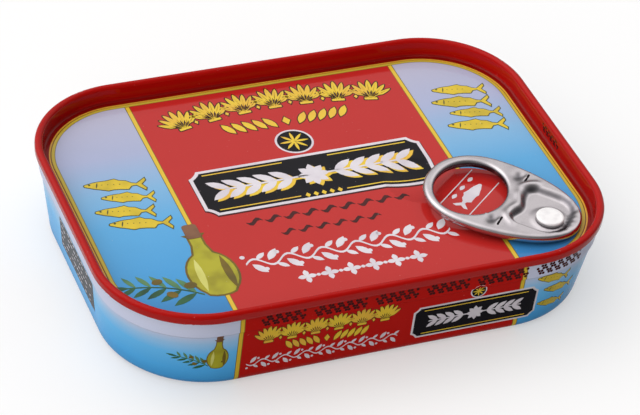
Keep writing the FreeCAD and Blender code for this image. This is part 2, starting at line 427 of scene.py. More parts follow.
def steel_finish():
    """Stamped bare steel: rolling grain and hairlines, with painted shade down in what is pressed
    in, in the curl and low on the underside.
    """
    finish, tree, shader = new_finish("Stamped steel")
    place = object_place(tree)
    turned = tree.nodes.new("ShaderNodeMapping")
    turned.inputs["Rotation"].default_value = (0.0, 0.0, math.radians(-44.0))
    tree.links.new(place, turned.inputs["Vector"])
    along = turned.outputs["Vector"]
    grain = noise(tree, along, 1500.0, 3.0, (1.0, 9.0, 1.0))
    hairs = ramp_up(tree, noise(tree, along, 800.0, 2.0, (1.0, 22.0, 1.0)), 0.64, 0.76)
    cloud = noise(tree, place, 260.0, 4.0)
    colour = over(tree, ramp_up(tree, cloud, 0.35, 0.8), paint(204, 198, 201),
                  paint(188, 182, 186))
    colour = over(tree, maths(tree, "MULTIPLY", hairs, 0.2), colour, paint(160, 154, 158))
    # Painted shade: dark grey where the stored shade is high, blotched a little by the cloud.
    grime_and_painted_shade = maths(tree, "MULTIPLY", painted_shade(tree), maths(tree, "MULTIPLY_ADD", cloud, 0.8, 0.4))
    colour = over(tree, grime_and_painted_shade, colour, paint(62, 60, 68))
    feed(tree, shader.inputs["Base Color"], colour)
    shader.inputs["Metallic"].default_value = 1.0
    rough = maths(tree, "MULTIPLY_ADD", grain, 0.1, 0.15)
    rough = maths(tree, "MULTIPLY_ADD", cloud, 0.06, rough)
    feed(tree, shader.inputs["Roughness"], rough)
    add_relief(tree, shader, maths(tree, "MULTIPLY_ADD", cloud, 2.0, grain), 0.06, 0.05 * MM)
    return finish


def rivet_finish():
    """Pressed head, more matt than the ring-pull; its near white is partly a painted highlight,
    and it has a painted shadow low down.
    """
    finish, tree, shader = new_finish("Pressed rivet")
    place = object_place(tree)
    cloud = noise(tree, place, 700.0, 4.0)
    # Near white partly paints in the highlight that the head catches.
    colour = over(tree, ramp_up(tree, cloud, 0.4, 0.75), paint(253, 251, 251),
                  paint(240, 237, 238))
    # Dark grey low on the head is painted shadow.
    colour = over(tree, painted_shade(tree), colour, paint(120, 116, 120))
    feed(tree, shader.inputs["Base Color"], colour)
    shader.inputs["Metallic"].default_value = 0.3
    feed(tree, shader.inputs["Roughness"], maths(tree, "MULTIPLY_ADD", cloud, 0.2, 0.3))
    add_relief(tree, shader, cloud, 0.1, 0.05 * MM)
    return finish


def slot_shade_finish():
    """Painted shade: the dark seen down a cut right through the steel."""
    finish, tree, shader = new_finish("Painted slot shade")
    place = object_place(tree)
    cloud = noise(tree, place, 900.0, 2.0)
    colour = over(tree, cloud, paint(14, 13, 15), paint(34, 30, 32))
    feed(tree, shader.inputs["Base Color"], colour)
    shader.inputs["Roughness"].default_value = 0.8
    shader.inputs["Specular IOR Level"].default_value = 0.1
    return finish


def ink_finish(name, colour, shade, gloss=0.14, specular=0.5):
    """Plain printed ink that drifts between a colour and its shade."""
    finish, tree, shader = new_finish(name)
    place = object_place(tree)
    drift = ramp_up(tree, noise(tree, place, 190.0, 2.0), 0.35, 0.7)
    finish_lacquer(tree, shader, place, over(tree, drift, colour, shade), 0.04, gloss, 0.3)
    shader.inputs["Specular IOR Level"].default_value = specular
    return finish


def dress(node, finish):
    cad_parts[node].material_slots[0].material = finish


dress("lid", lid_finish())
dress("can_body", body_finish())


# ---------------------------------------------------------------- hand tools

lifts = cycle(range(6))


def put_down():
    """Back to object mode with nothing selected."""
    if bpy.context.object and bpy.context.object.mode != "OBJECT":
        bpy.ops.object.mode_set(mode="OBJECT")
    bpy.ops.object.select_all(action="DESELECT")


def pick_up(piece):
    put_down()
    piece.select_set(True)
    bpy.context.view_layer.objects.active = piece


def open_up():
    """Edit mode, with all of the mesh selected."""
    bpy.ops.object.mode_set(mode="EDIT")
    bpy.ops.mesh.select_all(action="SELECT")


def close_up():
    bpy.ops.object.mode_set(mode="OBJECT")


def fix_place(piece):
    """Put the piece's turn, size and place into its mesh."""
    pick_up(piece)
    bpy.ops.object.transform_apply(location=True, rotation=True, scale=True)
    return piece


def sized(name, length, width):
    """Name the primitive just added and give it its size in millimetres."""
    piece = bpy.context.object
    piece.name = name
    piece.scale = (length, width, 1.0)
    return fix_place(piece)


def blank(name, sides, length, width):
    """Flat many-sided oval about the origin."""
    put_down()
    bpy.ops.mesh.primitive_circle_add(vertices=sides, radius=0.5 * MM, fill_type="NGON")
    return sized(name, length, width)


def slab(name, length, width, corner=0.0, sides=1, hollow=0.5):
    """Flat rectangle about the origin, with cut, round or hollow corners."""
    put_down()
    bpy.ops.mesh.primitive_plane_add(size=MM)
    piece = sized(name, length, width)
    if corner:
        open_up()
        bpy.ops.mesh.bevel(offset=corner * MM, segments=sides, profile=hollow,
                           affect="VERTICES")
        close_up()
    return piece


def choose(piece, test):
    """Enter edit mode with only the points that pass the test selected."""
    pick_up(piece)
    bpy.ops.object.mode_set(mode="EDIT")
    bpy.ops.mesh.select_mode(type="VERT")
    bpy.ops.mesh.select_all(action="DESELECT")
    bpy.ops.object.mode_set(mode="OBJECT")
    for point in piece.data.vertices:
        point.select = test(point.co.x / MM, point.co.y / MM)
    bpy.ops.object.mode_set(mode="EDIT")


def stretch(grow, about=(0.0, 0.0)):
    bpy.ops.transform.resize(value=(grow[0], grow[1], 1.0),
                             center_override=(about[0] * MM, about[1] * MM, 0.0))


def pull(piece, test, move=(0.0, 0.0), grow=(1.0, 1.0)):
    """Stretch the chosen points about the origin, then move them."""
    choose(piece, test)
    stretch(grow)
    bpy.ops.transform.translate(value=(move[0] * MM, move[1] * MM, 0.0))
    close_up()


def sprout(piece, test, move, grow=(1.0, 1.0), about=(0.0, 0.0)):
    """Extrude the chosen edges outwards and stretch their new ends about a place."""
    choose(piece, test)
    bpy.ops.mesh.extrude_region_move(
        TRANSFORM_OT_translate={"value": (move[0] * MM, move[1] * MM, 0.0)})
    stretch(grow, about)
    close_up()


def lift_one(piece):
    """Give the piece its own hair's breadth, so that parts that overlap lie one on another."""
    if "lift" not in piece.data.attributes:
        store = piece.data.attributes.new("lift", "FLOAT", "POINT")
        store.data.foreach_set("value", [float(next(lifts))] * len(piece.data.vertices))


def lift_all(piece, way):
    """Raise every point off the surface by its part's own hair's breadth."""
    store = piece.data.attributes.get("lift")
    if store:
        for point, mark in zip(piece.data.vertices, store.data):
            point.co += way * mark.value * LIFT_STEP
        piece.data.attributes.remove(store)


def copy_at(piece, x=0.0, y=0.0, turn=0.0, size=1.0, flip=False):
    """A copy with its own mesh, sized, turned and moved flat in its plane."""
    twin = piece.copy()
    twin.data = piece.data.copy()
    bpy.context.collection.objects.link(twin)
    lift_one(twin)
    twin.scale = (size, -size if flip else size, 1.0)
    twin.rotation_euler = (0.0, 0.0, turn)
    twin.location = (x * MM, y * MM, 0.0)
    fix_place(twin)
    if flip:
        open_up()
        bpy.ops.mesh.flip_normals()
        close_up()
    return twin


def join_as(name, parts):
    put_down()
    for part in parts:
        part.select_set(True)
    bpy.context.view_layer.objects.active = parts[0]
    if len(parts) > 1:
        bpy.ops.object.join()
    parts[0].name = name
    return parts[0]


def throw_away(*pieces):
    for piece in pieces:
        bpy.data.objects.remove(piece)


def moved(piece, x=0.0, y=0.0, turn=0.0, size=1.0, name=""):
    """Move a finished flat piece to its spot, with a new name if one is given."""
    twin = copy_at(piece, x, y, turn, size)
    name = name or piece.name
    throw_away(piece)
    twin.name = name
    return twin


def shrunk(piece, margin):
    """A copy that lies inside the outline by a margin."""
    twin = copy_at(piece)
    bpy.ops.object.mode_set(mode="EDIT")
    bpy.ops.mesh.select_mode(type="FACE")
    bpy.ops.mesh.select_all(action="SELECT")
    bpy.ops.mesh.inset(thickness=margin * MM, use_even_offset=True)
    bpy.ops.mesh.select_all(action="INVERT")
    bpy.ops.mesh.delete(type="FACE")
    close_up()
    return twin


def scatter(name, motif, spots):
    """Copies of a motif at (x, y, turn, size) spots, joined; the motif is used up."""
    parts = [copy_at(motif, *spot) for spot in spots]
    throw_away(motif)
    return join_as(name, parts)


def slice_up(piece, pitch, start=(-99.0, -99.0), stop=(99.0, 99.0)):
    """Cut a flat piece into strips both ways, so that it can follow a curved wall."""
    places = [point.co.copy() for point in piece.data.vertices]
    pick_up(piece)
    bpy.ops.object.mode_set(mode="EDIT")
    for axis, way in enumerate((Vector((1.0, 0.0, 0.0)), Vector((0.0, 1.0, 0.0)))):
        low = max(min(place[axis] for place in places), start[axis] * MM)
        high = min(max(place[axis] for place in places), stop[axis] * MM)
        step = math.ceil(low / pitch / MM) * pitch * MM
        while step < high:
            bpy.ops.mesh.select_all(action="SELECT")
            bpy.ops.mesh.bisect(plane_co=way * step, plane_no=way)
            step += pitch * MM
    close_up()


def press_on(piece, node, axis, forward, layer):
    """Press a flat piece on to a solid's surface and give it the thickness of ink."""
    pick_up(piece)
    wrap = piece.modifiers.new("press", "SHRINKWRAP")
    wrap.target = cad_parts[node]
    wrap.wrap_method = "PROJECT"
    wrap.use_project_x = axis == "X"
    wrap.use_project_y = axis == "Y"
    wrap.use_project_z = axis == "Z"
    wrap.use_positive_direction = forward
    wrap.use_negative_direction = not forward
    bpy.ops.object.modifier_apply(modifier=wrap.name)
    way = Vector([1.0 if name == axis else 0.0 for name in "XYZ"])
    lift_all(piece, -way if forward else way)
    skin = piece.modifiers.new("ink", "SOLIDIFY")
    skin.thickness = INK_LAYER * layer
    skin.offset = 1.0
    skin.use_even_offset = False
    bpy.ops.object.modifier_apply(modifier=skin.name)


def hand_over(piece, finish):
    """Dress a finished piece and let it ride on the tin."""
    piece.data.materials.clear()
    piece.data.materials.append(finish)
    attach(piece, "root")


def print_on_lid(piece, finish, layer=1, over_well=False):
    """Lay flat ink on the lid's panel; over the finger well it is cut fine enough to dip."""
    if over_well:
        slice_up(piece, 0.5, WELL_LOW, WELL_HIGH)
    piece.location = (0.0, 0.0, ABOVE_LID)
    fix_place(piece)
    press_on(piece, "lid", "Z", False, layer)
    hand_over(piece, finish)


def print_on_wall(piece, finish, side=FRONT, layer=1, pitch=1.5):
    """Stand flat ink up (its y is the height) and lay it on one side of the wall."""
    if pitch:
        slice_up(piece, pitch)
    piece.rotation_euler = (math.pi / 2, 0.0, side)
    piece.location = (CLEAR_OF_WALL * math.sin(side), -CLEAR_OF_WALL * math.cos(side), 0.0)
    fix_place(piece)
    axis = "X" if side in (LEFT, RIGHT) else "Y"
    press_on(piece, "can_body", axis, side in (LEFT, FRONT), layer)
    hand_over(piece, finish)


# ---------------------------------------------------------------- ring-pull and rivet

# Places on the ring-pull are in millimetres: along it from the rivet, across it, and up.
TAB_TOP = 0.95                # half the ring-pull's thickness
TOP_SIDE = 0.1                # points above this belong to the top
PRESSED_END = 14.0            # nothing is pressed further along than this
RIVET_HOLE = 1.6
POCKET_MIDDLE = (1.5, -1.35)
POCKET_HALF = (5.9, 6.55)
POCKET_DEEP = 1.05
BURR_HIGH = 0.07
LIP_HIGH = 0.3
SCOOP_DEEP = 0.5
FINGER_HOLE = (17.1, -0.35)
FINGER_HOLE_HALF = (7.2, 8.6)
SLOTS = ((8.3, -8.9), (8.2, 6.7))
SLOT_SIZE = (0.42, 2.7, 0.5)

# The solid's own plainer pocket and scoops.
OLD_POCKET = (1.7, -0.7)
OLD_POCKET_HALF = 6.7
OLD_POCKET_END = 8.0
OLD_SLOTS = ((9.6, -8.8), (9.6, 7.4))
OLD_SLOT_HALF = (2.0, 1.75)

HEAD_FOOT = 0.2               # the rivet's head is all that lies above this
HEAD_GROWTH = 1.13
LIE = (Matrix.Translation(Vector((39.5, -25.2, 17.276)) * MM)
       @ Matrix.Rotation(math.radians(135.8), 4, "Z")
       @ Matrix.Rotation(math.radians(-2.5), 4, "Y"))


def ease(value, low, high):
    """Soft change from 0 to 1 as value goes from low to high."""
    share = min(1.0, max(0.0, (value - low) / (high - low)))
    return share * share * (3.0 - 2.0 * share)


def hump(value, middle, reach):
    """Bell with its top of 1 in the middle."""
    return math.exp(-((value - middle) / reach) ** 2)


def inside_pocket(along, across):
    """Distance inside the pocket's edge: a rounded box, wavy on the finger hole's side."""
    u = along - POCKET_MIDDLE[0]
    v = across - POCKET_MIDDLE[1]
    if u > 0:
        u += 0.95 * hump(v, 1.2, 2.4) - 0.2 * hump(v, -3.5, 2.0)
    corner = 2.6 if u > 0 else 4.9
    over_u = abs(u) - POCKET_HALF[0] + corner
    over_v = abs(v) - POCKET_HALF[1] + corner
    out = math.hypot(max(over_u, 0.0), max(over_v, 0.0))
    return corner - out - min(max(over_u, over_v), 0.0)


def pressed(along, across):
    """How far the pressed top lies below the flat sheet, and how much painted shade it gets there.
    """
    inner = inside_pocket(along, across)
    wide = 1.5 - 0.6 * ease(across, -4.0, 4.0) + 0.4 * ease(-along, -3.0, 2.0)
    share = ease(inner, -0.35, wide)
    deep = POCKET_DEEP - 0.25 * (1.0 - ease(math.hypot(along, across), 2.9, 4.4))
    drop = deep * share
    # slope is the painted shade on the pocket's walls; the scoops add their own below.
    slope = 4.0 * share * (1.0 - share)
    turn = math.atan2(across + 0.7, along)
    by_nose = ease(-along, 0.2, 2.0) * hump(inner, 0.4, 0.9)
    drop += BURR_HIGH * by_nose * math.sin(13.0 * turn) * math.sin(5.0 * turn + 1.0)
    lip = ease(along, 4.6, 6.4) * hump(inner, -0.85, 0.7)
    drop -= LIP_HIGH * lip * (1.0 + 0.16 * math.sin(1.7 * across + 0.5))
    for slot in SLOTS:
        u = along - slot[0]
        v = across - slot[1]
        scoop = hump(u, 1.75, 0.95) * hump(v, 0.0, 1.35)
        drop += SCOOP_DEEP * scoop - 0.22 * hump(u, 0.35, 0.35) * hump(v, 0.0, 1.0)
        slope = max(slope, 0.9 * scoop)
    return drop, slope


def in_the_curl(along, across, height):
    """Painted shade on the inner side of the curled steel round the finger hole, from 0 to 1."""
    round_hole = math.hypot((along - FINGER_HOLE[0]) / FINGER_HOLE_HALF[0],
                            (across - FINGER_HOLE[1]) / FINGER_HOLE_HALF[1])
    return ease(-round_hole, -1.16, -1.04) * ease(-height, -0.8, -0.3)


def was_pressed(along, across):
    """True over the solid's own pocket and scoops, which are levelled and then pressed anew."""
    for slot in OLD_SLOTS:
        u = abs(along - slot[0])
        v = abs(across - slot[1])
        if u < OLD_SLOT_HALF[0] and v < OLD_SLOT_HALF[1]:
            return True
    u = along - OLD_POCKET[0]
    v = across - OLD_POCKET[1]
    if u < 0:
        return math.hypot(u, v) < OLD_POCKET_HALF
    return along < OLD_POCKET_END and abs(v) < OLD_POCKET_HALF


def fine_copy(name, node, voxel):
    """A closed, evenly fine copy of a solid, laid flat with the rivet at the origin."""
    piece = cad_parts[node].copy()
    piece.data = piece.data.copy()
    piece.name = name
    bpy.context.collection.objects.link(piece)
    pick_up(piece)
    open_up()
    bpy.ops.mesh.remove_doubles(threshold=0.001 * MM)
    close_up()
    piece.data.transform(LIE.inverted())
    fine = piece.modifiers.new("fine", "REMESH")
    fine.mode = "VOXEL"
    fine.voxel_size = voxel * MM
    bpy.ops.object.modifier_apply(modifier=fine.name)
    return piece


def lay_down(piece, finish):
    """Back to its place on the lid, smooth and dressed."""
    piece.data.transform(LIE)
    pick_up(piece)
    bpy.ops.object.shade_smooth_by_angle(angle=math.radians(50.0))
    hand_over(piece, finish)


def ring_pull():
    """The ring-pull, its top pressed finer than the solid's."""
    piece = fine_copy("ring_pull_steel", "pull_tab", 0.2)
    store = piece.data.attributes.new("painted_shade", "FLOAT", "POINT")
    for point in piece.data.vertices:
        along, across, height = point.co / MM
        # Painted shade: dark in the curl round the finger hole and low on the underside, and on
        # pressed slopes further down.
        low = max(1.1 * in_the_curl(along, across, height), 0.75 * ease(-height, 0.0, 0.75))
        store.data[point.index].value = low
        by_rivet = math.hypot(along, across) < RIVET_HOLE
        if height < TOP_SIDE or along > PRESSED_END or by_rivet:
            continue
        drop, slope = pressed(along, across)
        if was_pressed(along, across):
            height = TAB_TOP
        point.co.z = (height - drop) * MM
        store.data[point.index].value = max(slope, store.data[point.index].value)
    lay_down(piece, steel_finish())
    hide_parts("pull_tab")


def rivet_head():
    """The rivet, its head a little wider than the solid's and given painted shadow low down."""
    piece = fine_copy("rivet_head", "rivet", 0.1)
    store = piece.data.attributes.new("painted_shade", "FLOAT", "POINT")
    for point in piece.data.vertices:
        height = point.co.z / MM
        if height > HEAD_FOOT:
            point.co.x *= HEAD_GROWTH
            point.co.y *= HEAD_GROWTH
        # Painted shadow round the foot of the head.
        store.data[point.index].value = 0.8 * ease(-height, -0.85, -0.55)
    lay_down(piece, rivet_finish())
    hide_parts("rivet")


def cut_slots():
    """Painted shade in the two cuts beside the scoops, as dark plugs."""
    dark = slot_shade_finish()
    length, width, deep = SLOT_SIZE
    for count, slot in enumerate(SLOTS, 1):
        piece = slab("tab_slot_shade_" + str(count), length, width, 0.2, 3)
        pick_up(piece)
        open_up()
        bpy.ops.mesh.extrude_region_move(
            TRANSFORM_OT_translate={"value": (0.0, 0.0, deep * MM)})
        close_up()
        piece.location = (slot[0] * MM, slot[1] * MM, (TAB_TOP - 0.38) * MM)
        fix_place(piece)
        lay_down(piece, dark)


ring_pull()
rivet_head()
cut_slots()


# ---------------------------------------------------------------- motifs

def leaf(length, width, sides=12):
    """Pointed leaf along X from the origin."""
    piece = blank("leaf", sides, length * 0.8, width)
    tip = length * 0.39
    pull(piece, lambda x, y: abs(x) > tip, grow=(1.25, 1.0))
    pull(piece, lambda x, y: True, move=(length / 2, 0.0))
    return piece


def bead(size, sides=12):
    return blank("bead", sides, size, size)


def lozenge(length, width):
    return blank("lozenge", 4, length, width)


def bar(length, width):
    return slab("bar", length, width)


def shell(size):
    """Scallop: seven round-ended ribs fanned up from a small foot."""
    rib = blank("rib", 16, size * 0.98, size * 0.25)
    pull(rib, lambda x, y: x < 0, grow=(1.0, 0.45))
    pull(rib, lambda x, y: True, move=(size * 0.49, 0.0))
    spots = []
    for step in range(-3, 4):
        turn = math.pi / 2 + step * math.radians(17.5)
        spots.append((0.0, -size * 0.42, turn, 1.0 - 0.045 * abs(step)))
    fan = scatter("shell", rib, spots)
    base = moved(slab("foot", size * 0.46, size * 0.17, size * 0.05, 3), 0.0, -size * 0.42)
    return join_as("shell", [fan, base])


def rosette(size, petals, width):
    """Pointed petals round a middle."""
    petal = leaf(size / 2, width)
    spots = [(0.0, 0.0, 2 * math.pi * i / petals, 1.0) for i in range(petals)]
    return scatter("rosette", petal, spots)


def fish(length):
    """Slim fish that swims along X: body, forked tail, back fin and two belly fins."""
    deep = length * 0.225
    body = blank("fish", 24, length * 0.74, deep)
    end = length * 0.74 / 2
    pull(body, lambda x, y: x > end * 0.9, move=(length * 0.035, 0.0))
    pull(body, lambda x, y: x < -end * 0.6, grow=(1.0, 0.55))
    pull(body, lambda x, y: x < -end * 0.95, move=(length * 0.02, 0.0))
    sprout(body, lambda x, y: x < -end * 0.82, (-length * 0.13, 0.0), (1.0, 5.2))
    pull(body, lambda x, y: x < -end * 1.1 and abs(y) < deep * 0.1, move=(length * 0.07, 0.0))
    pull(body, lambda x, y: abs(x) < end * 0.2 and y > deep * 0.46,
         move=(-length * 0.03, length * 0.035))
    pull(body, lambda x, y: abs(x - end * 0.26) < end * 0.1 and y < -deep * 0.4,
         move=(-length * 0.03, -length * 0.025))
    pull(body, lambda x, y: abs(x + end * 0.5) < end * 0.08 and y < 0,
         move=(-length * 0.03, -length * 0.02))
    return body


def fish_marks(length):
    """Eye, gill and a few side spots of that fish."""
    end = length * 0.37
    eye = moved(bead(length * 0.035), end * 0.86, length * 0.02)
    gill = moved(leaf(length * 0.13, length * 0.018), end * 0.62, -length * 0.06,
                 math.radians(100))
    parts = [eye, gill]
    for step in range(4):
        spot = bead(length * 0.016, 8)
        parts.append(moved(spot, end * (0.4 - 0.22 * step), length * 0.012))
    return join_as("fish_marks", parts)


def ripple(length, height):
    """Small sea ripple: an S lying down, thick in the middle."""
    piece = slab("ripple", length, height * 0.6)
    slice_up(piece, length / 6)
    for point in piece.data.vertices:
        share = point.co.x / (length * MM)
        point.co.y *= math.cos(share * math.pi * 0.92)
        point.co.y += math.sin(share * 2 * math.pi) * height * 0.32 * MM
    return piece


# ---------------------------------------------------------------- inks

class Inks:
    """One set of inks; the lid's set is glossier than the wall's."""

    def __init__(self, part, gloss, specular):
        def ink(name, colour, shade, shine=1.0):
            return ink_finish(part + " " + name, colour, shade, gloss, specular * shine)

        self.gold = ink("gold", paint(234, 200, 58), paint(232, 184, 66))
        self.line = ink("outline", OUTLINE, paint(84, 46, 22))
        self.dark = ink("plate", PLATE_INK, paint(12, 9, 18), 0.6)
        self.mark = ink("dark red", paint(60, 10, 10), paint(78, 14, 12))
        self.pale = ink("white", WHITE_INK, paint(214, 206, 214))
        self.fish = ink("fish", paint(224, 194, 50), paint(196, 172, 48))
        self.fish_line = ink("fish outline", paint(66, 82, 50), paint(84, 78, 40))
        self.oil = ink("oil", paint(178, 172, 44), paint(148, 140, 34))
        self.oil_shade = ink("oil shade", paint(120, 98, 28), paint(96, 82, 30))
        self.oil_light = ink("oil light", paint(214, 212, 120), paint(200, 196, 96))
        self.cork = ink("cork", paint(132, 92, 66), paint(96, 62, 46))
        self.leaf = ink("leaf", paint(50, 98, 64), paint(36, 70, 50))
        self.leaf_light = ink("pale leaf", paint(96, 138, 92), paint(76, 120, 84))


LID = Inks("Lid", 0.08, 0.27)
WALL = Inks("Wall", 0.2, 0.06)


# ---------------------------------------------------------------- label parts, flat

def arch(x, height, reach):
    """Height and turn of a place along a gentle arch."""
    share = x / reach
    return height * (1 - share * share), -math.atan(2 * height * share / reach)


def shell_row(size, pitch, count, height):
    """Arched row of scallops with a bead between each two."""
    shells = []
    beads = []
    reach = pitch * (count - 1) / 2
    for i in range(count):
        x = pitch * i - reach
        rise, turn = arch(x, height, reach)
        shells.append((x, rise, turn, 1.0))
        if i < count - 1:
            middle = x + pitch / 2
            rise, turn = arch(middle, height, reach)
            beads.append((middle, rise - size * 0.3, turn, 1.0))
    row = scatter("shell_row", shell(size), shells)
    dots = scatter("bead_row", lozenge(size * 0.2, size * 0.32), beads)
    return join_as("shell_row", [row, dots])


def wheat_row(length, height):
    """Leaves that lean in from both ends towards a bead in the middle."""
    blade = leaf(height * 1.1, height * 0.44)
    pull(blade, lambda x, y: True, move=(-height * 0.51, 0.0))
    spots = []
    pitch = height * 0.5
    for i in range(int((length / 2 - height * 0.5) / pitch)):
        x = height * 0.75 + i * pitch
        spots.append((x, 0.0, math.radians(58), 1.0))
        spots.append((-x, 0.0, math.radians(122), 1.0))
    row = scatter("wheat_row", blade, spots)
    heart = lozenge(height * 0.5, height * 0.8)
    return join_as("wheat_row", [row, heart])


def laurel(length, size):
    """Two laurel branches that meet at a flower."""
    blade = leaf(size * 0.72, size * 0.25)
    spots = []
    pitch = size * 0.46
    for i in range(int((length / 2 - size * 0.5) / pitch)):
        x = size * 0.62 + i * pitch
        for way in (1, -1):
            for lean in (34, -34):
                turn = math.radians(lean if way > 0 else 180 - lean)
                spots.append((way * x, 0.0, turn, 1.0))
    leaves = scatter("laurel", blade, spots)
    stem = bar(length - size * 0.5, size * 0.07)
    flower = rosette(size * 0.95, 8, size * 0.24)
    return join_as("laurel", [leaves, stem, flower])


def vine(length, size, waves):
    """Running vine: a thin wavy stem with a leaf in every bend."""
    stem = slab("vine", length, size * 0.09)
    slice_up(stem, length / (waves * 12))
    swing = size * 0.2
    for point in stem.data.vertices:
        share = point.co.x / (length * MM)
        point.co.y += math.sin(share * waves * 2 * math.pi) * swing * MM
    blade = leaf(size * 0.62, size * 0.26)
    dot = bead(size * 0.17, 10)
    leaves = []
    dots = []
    for i in range(waves * 2):
        x = (i + 0.5) * length / (waves * 2) - length / 2
        up = 1 if math.sin(x / length * waves * 2 * math.pi) > 0 else -1
        leaves.append((x - size * 0.1, -up * size * 0.04, up * math.radians(-52), 1.0))
        leaves.append((x + size * 0.1, up * size * 0.16, up * math.radians(38), 0.7))
        dots.append((x - size * 0.3, up * size * 0.36, 0.0, 1.0))
    return join_as("vine", [stem, scatter("vine_leaves", blade, leaves),
                            scatter("vine_dots", dot, dots)])


def spaced(pitch, count):
    """Upright spots in a row about the middle."""
    return [(pitch * (i - (count - 1) / 2), 0.0, 0.0, 1.0) for i in range(count)]


def flower_row(size, pitch, count):
    flowers = scatter("flower_row", rosette(size, 4, size * 0.3), spaced(pitch, count))
    dots = scatter("flower_dots", bead(size * 0.22, 8), spaced(pitch, count - 1))
    return join_as("flower_row", [flowers, dots])


def ripple_row(size, pitch, count):
    return scatter("ripple_row", ripple(size, size * 0.6), spaced(pitch, count))


def ship_wheel(size):
    """Ring, hub and eight spokes that reach past the ring."""
    put_down()
    bpy.ops.mesh.primitive_circle_add(vertices=32, radius=size * 0.36 * MM, fill_type="NOTHING")
    ring = bpy.context.object
    open_up()
    bpy.ops.mesh.extrude_region_move()
    bpy.ops.transform.resize(value=(0.78, 0.78, 1.0))
    bpy.ops.mesh.select_all(action="SELECT")
    bpy.ops.mesh.normals_make_consistent(inside=False)
    close_up()
    spoke = leaf(size * 0.5, size * 0.1)
    spots = [(0.0, 0.0, math.pi * i / 4, 1.0) for i in range(8)]
    spokes = scatter("spokes", spoke, spots)
    return join_as("ship_wheel", [ring, spokes, bead(size * 0.22, 16)])


def inked(piece, margin):
    """Outline layer and fill layer of one ornament."""
    fill = shrunk(piece, margin)
    fill.name = piece.name + "_fill"
    return piece, fill


# ---------------------------------------------------------------- the lid's label

LID_PLATE = (0.2, 2.3)        # middles of the plate and the roundel on the lid
LID_ROUNDEL = (0.3, 14.2)
WALL_PLATE = (19.7, 7.2)      # and on the wall
WALL_ROUNDEL = (19.7, 13.0)


def print_gold(piece, margin, put, inks, **where):
    """Dark outline below, gold above; put lays them on the lid or the wall."""
    low, high = inked(piece, margin)
    put(low, inks.line, layer=1, **where)
    put(high, inks.gold, layer=2, **where)


def lid_title():
    row = moved(shell_row(size=7.0, pitch=7.0, count=7, height=2.5), 0.7, 27.0,
                name="lid_shell_row")
    print_gold(row, 0.26, print_on_lid, LID)
    row = moved(wheat_row(length=31.0, height=4.5), 1.2, 21.4, name="lid_wheat_row")
    print_gold(row, 0.22, print_on_lid, LID)


def plate_layers(length, width, name):
    """White label plate with hollow corners and its dark middle."""
    rim = slab(name, length, width, width * 0.14, 5, 0.16)
    return rim, shrunk(rim, width * 0.052)


def lid_plate():
    """Label plate on a dark shade, with gold lines, beads, and a laurel edged in gold."""
    shade, spare = plate_layers(49.9, 14.7, "lid_plate_shade")
    throw_away(spare)
    print_on_lid(moved(shade, 0.2, 1.95), LID.mark, 1, True)
    rim, middle = plate_layers(49.6, 14.5, "lid_plate_rim")
    print_on_lid(moved(rim, *LID_PLATE), LID.pale, 2, True)
    print_on_lid(moved(middle, *LID_PLATE, name="lid_plate"), LID.dark, 3, True)
    lines = [moved(bar(17.0, 0.3), x, y) for y in (8.0, -3.4) for x in (-13.2, 13.6)]
    print_on_lid(join_as("lid_plate_lines", lines), LID.gold, 4, True)
    print_on_lid(moved(laurel(41.0, 7.2), 0.75, 2.1), LID.gold, 4, True)
    white = moved(laurel(41.0, 7.2), 0.2, 2.7, name="lid_laurel")
    print_on_lid(white, LID.pale, 5, True)
    beads = scatter("lid_beads", lozenge(1.1, 1.5),
                    [(1.7 * i + 0.2, -3.4, 0.0, 1.0) for i in range(-2, 3)])
    print_on_lid(beads, LID.gold, 4)


def roundel(part, sides, sizes, place, put, inks, **where):
    """Dark disc with a pale edge and a gold ship's wheel, given by their three sizes."""
    edge, disc, wheel = sizes
    piece = moved(blank(part + "_roundel_rim", sides, edge, edge), *place)
    put(piece, inks.pale, layer=1, **where)
    piece = moved(blank(part + "_roundel", sides, disc, disc), *place)
    put(piece, inks.dark, layer=2, **where)
    piece = moved(ship_wheel(wheel), *place, name=part + "_wheel")
    put(piece, inks.gold, layer=3, **where)


def lid_small_rows():
    row = moved(ripple_row(size=3.5, pitch=3.9, count=9), -0.8, -8.6, name="lid_ripples")
    print_on_lid(row, LID.mark, 1, True)
    row = moved(ripple_row(size=3.1, pitch=3.6, count=6), -2.0, -13.3, name="lid_low_ripples")
    print_on_lid(row, LID.mark)
    row = moved(vine(length=42.5, size=6.2, waves=6), -1.2, -20.9, name="lid_vine")
    print_on_lid(row, LID.pale)
    row = moved(flower_row(size=3.9, pitch=4.6, count=6), -0.8, -27.4, name="lid_flower_row")
    print_on_lid(row, LID.pale)


def ring_print():
    """Two fine lines, a small white fish and drops, seen through the finger hole."""
    turn = math.radians(39.5)
    along = Vector((math.cos(turn), math.sin(turn)))
    across = Vector((-along.y, along.x))
    middle = Vector((28.0, -11.5))
    parts = []
    for shift, length in ((3.1, 15.0), (-3.4, 13.5)):
        spot = middle + across * shift
        parts.append(moved(bar(length, 0.22), spot.x, spot.y, turn))
    spot = middle - across * 0.6
    parts.append(moved(fish(10.5), spot.x, spot.y, turn))
    for step in (-3.4, 0.0, 3.4):
        spot = middle + across * 1.9 + along * step
        parts.append(moved(leaf(1.9, 0.9), spot.x, spot.y, turn))
    print_on_lid(join_as("ring_print", parts), LID.pale)


def school(part, length, margin, heading, spots, put, inks, **where):
    """Fish given by place and size, all of one heading: outline, fill and marks."""
    turn = math.radians(heading)
    spots = [(x, y, turn, size, True) for x, y, size in spots]
    low, high = inked(fish(length), margin)
    put(scatter(part + "_fish_outline", low, spots), inks.fish_line, layer=1, **where)
    put(scatter(part + "_fish", high, spots), inks.fish, layer=2, **where)
    marks = scatter(part + "_fish_marks", fish_marks(length), spots)
    put(marks, inks.fish_line, layer=3, **where)


